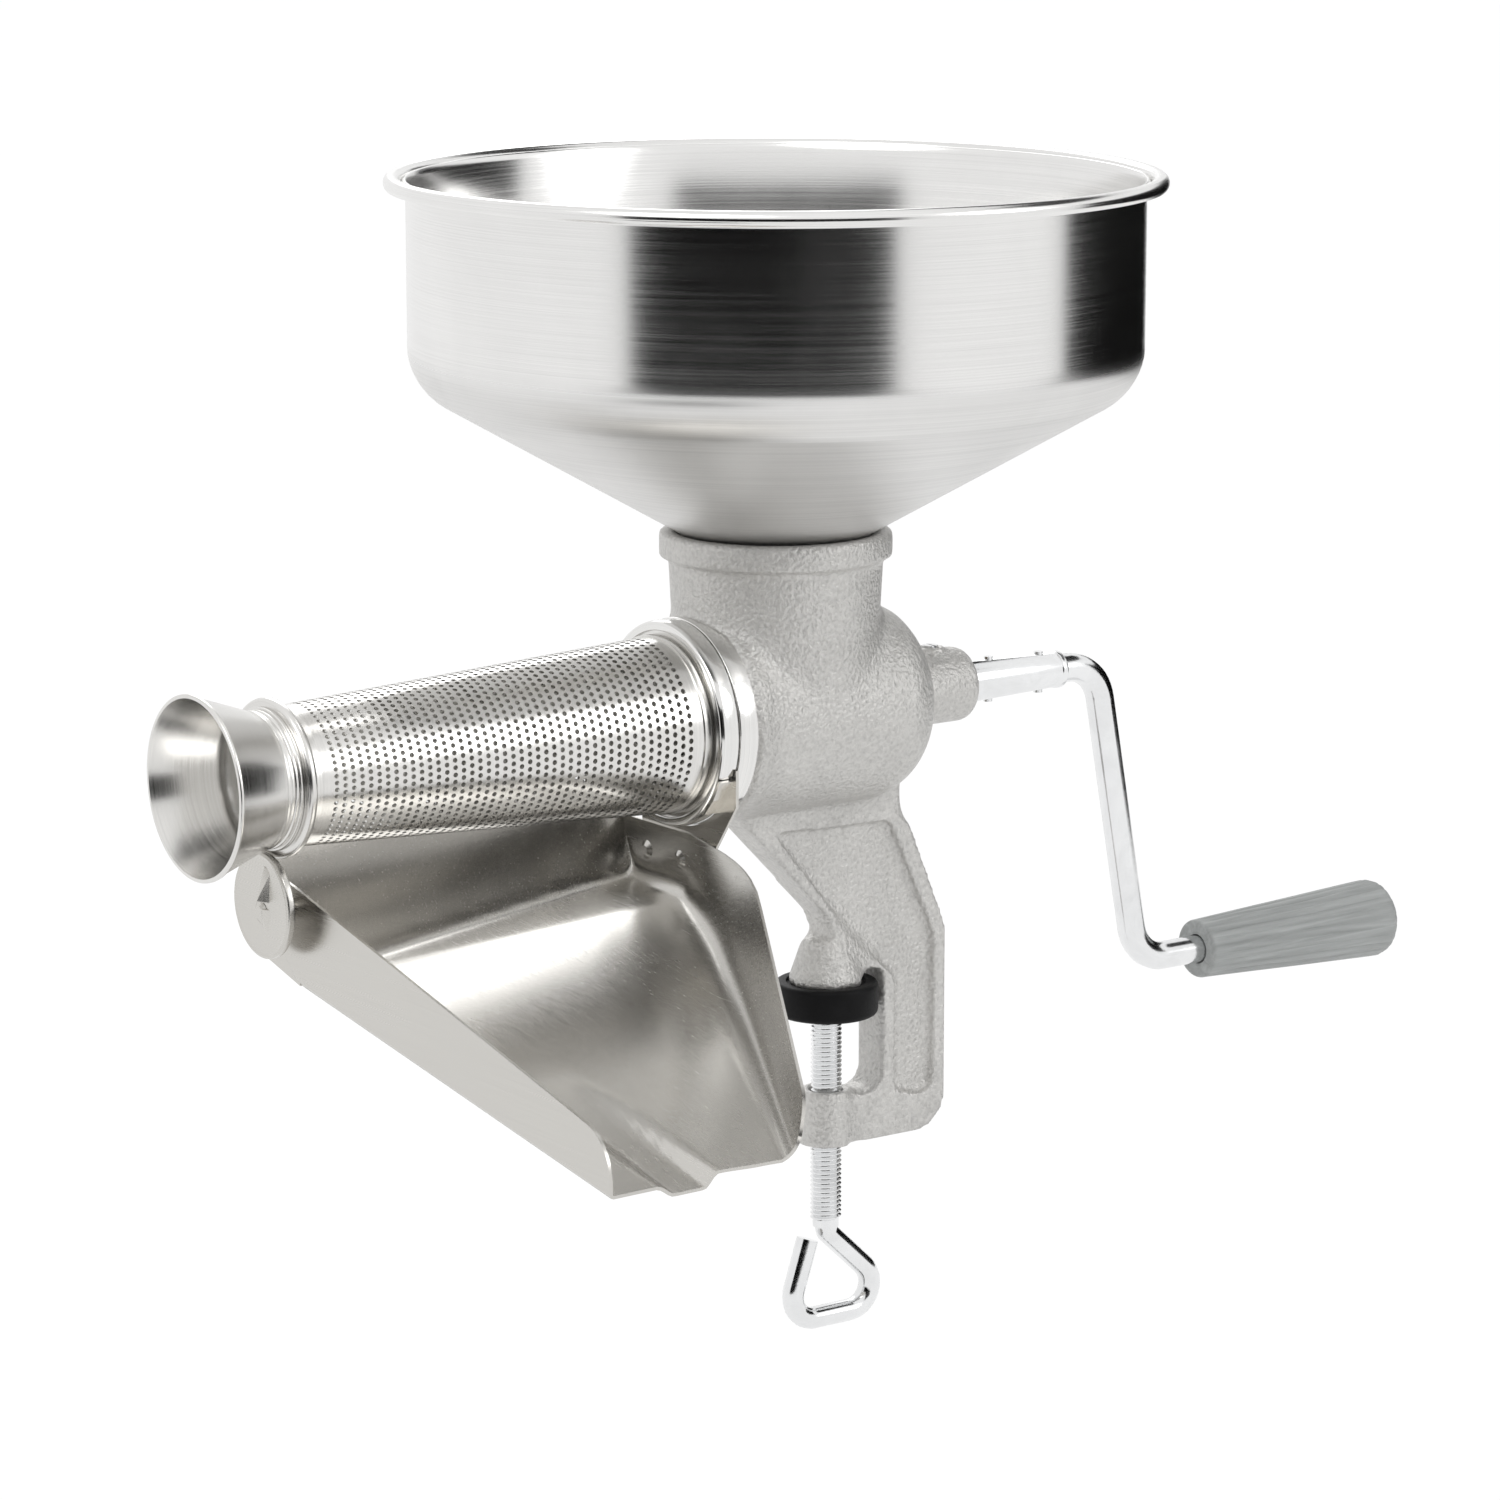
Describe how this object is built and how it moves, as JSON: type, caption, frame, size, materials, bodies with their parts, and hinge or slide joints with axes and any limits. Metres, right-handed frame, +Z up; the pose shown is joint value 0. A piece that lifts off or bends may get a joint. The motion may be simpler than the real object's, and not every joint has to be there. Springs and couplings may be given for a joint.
{
  "type": "hand crank tomato strainer",
  "caption": "Table-clamp hand crank strainer: steel feed hopper over a tinned cast body, conical perforated sieve with waste outlet, folded juice tray, bent crank with grip.",
  "frame": {"origin": "on the clamp screw axis, in the underside of the clamp foot that rests on the table", "axes": "+X along the barrel towards the crank, +Z up the hopper axis, -Y towards the lip of the juice tray"},
  "size_m": [0.4624, 0.2914, 0.3718],
  "materials": {
    "tinned_casting": "tinned, fine cast grain",
    "spun_steel": "polished with fine turning lines",
    "turned_steel": "satin turned",
    "sieve_steel": "perforated sheet",
    "tray_steel": "satin pressed sheet",
    "bright_zinc": "bright zinc plated",
    "bush_bronze": "machined",
    "black_rubber": "matt black",
    "grey_plastic": "moulded, ribbed",
    "white_plastic": "moulded"
  },
  "bodies": {
    "frame": {"cast_body": "tinned_casting", "bayonet_pins": "bright_zinc", "sieve_screen": "sieve_steel", "sieve_flange": "turned_steel", "sieve_collar": "turned_steel", "outlet_cone": "turned_steel", "drip_tray": "tray_steel", "tray_hook": "tray_steel", "tray_rivets": "tray_steel", "latch_stud": "tray_steel", "thrust_washer": "bright_zinc", "shaft_seal": "black_rubber", "shaft_bush": "bush_bronze", "oil_screw": "bright_zinc"},
    "crank": {"auger": "white_plastic", "auger_shaft": "bright_zinc", "crank_socket": "bright_zinc", "socket_pins": "bright_zinc", "crank_arm": "bright_zinc", "grip_clip": "bright_zinc"},
    "grip": {"crank_grip": "grey_plastic"},
    "ring": {"lock_ring": "turned_steel"},
    "latch": {"tray_latch": "tray_steel"},
    "hopper": {"hopper": "spun_steel"},
    "pad": {"clamp_pad": "black_rubber", "pad_retainer": "bright_zinc"},
    "screw": {"clamp_screw": "bright_zinc"}
  },
  "joints": [
    {"name": "crank_turn", "type": "hinge", "parent": "frame", "child": "crank", "pos_m": [0.04, 0, 0.091], "axis": [1, 0, 0], "continuous": true},
    {"name": "grip_spin", "type": "hinge", "parent": "crank", "child": "grip", "pos_m": [0.18, 0, -0.011], "axis": [1, 0, 0], "continuous": true},
    {"name": "lock_turn", "type": "hinge", "parent": "frame", "child": "ring", "pos_m": [-0.06, 0, 0.091], "axis": [1, 0, 0], "range_deg": [0, 60]},
    {"name": "latch_turn", "type": "hinge", "parent": "frame", "child": "latch", "pos_m": [-0.205, 0, 0.0514], "axis": [1, 0, 0], "range_deg": [0, 180]},
    {"name": "hopper_lift", "type": "slide", "parent": "frame", "child": "hopper", "axis": [0, 0, 1], "range_m": [0, 0.03]},
    {"name": "clamp_travel", "type": "slide", "parent": "frame", "child": "pad", "axis": [0, 0, -1], "range_m": [0, 0.022]},
    {"name": "clamp_turn", "type": "hinge", "parent": "pad", "child": "screw", "pos_m": [0, 0, -0.05], "axis": [0, 0, -1], "range_deg": [0, 5285]}
  ],
  "couplings": [
    {"joint": "clamp_turn", "follows": "clamp_travel", "rad_per_m": 4188.8}
  ]
}
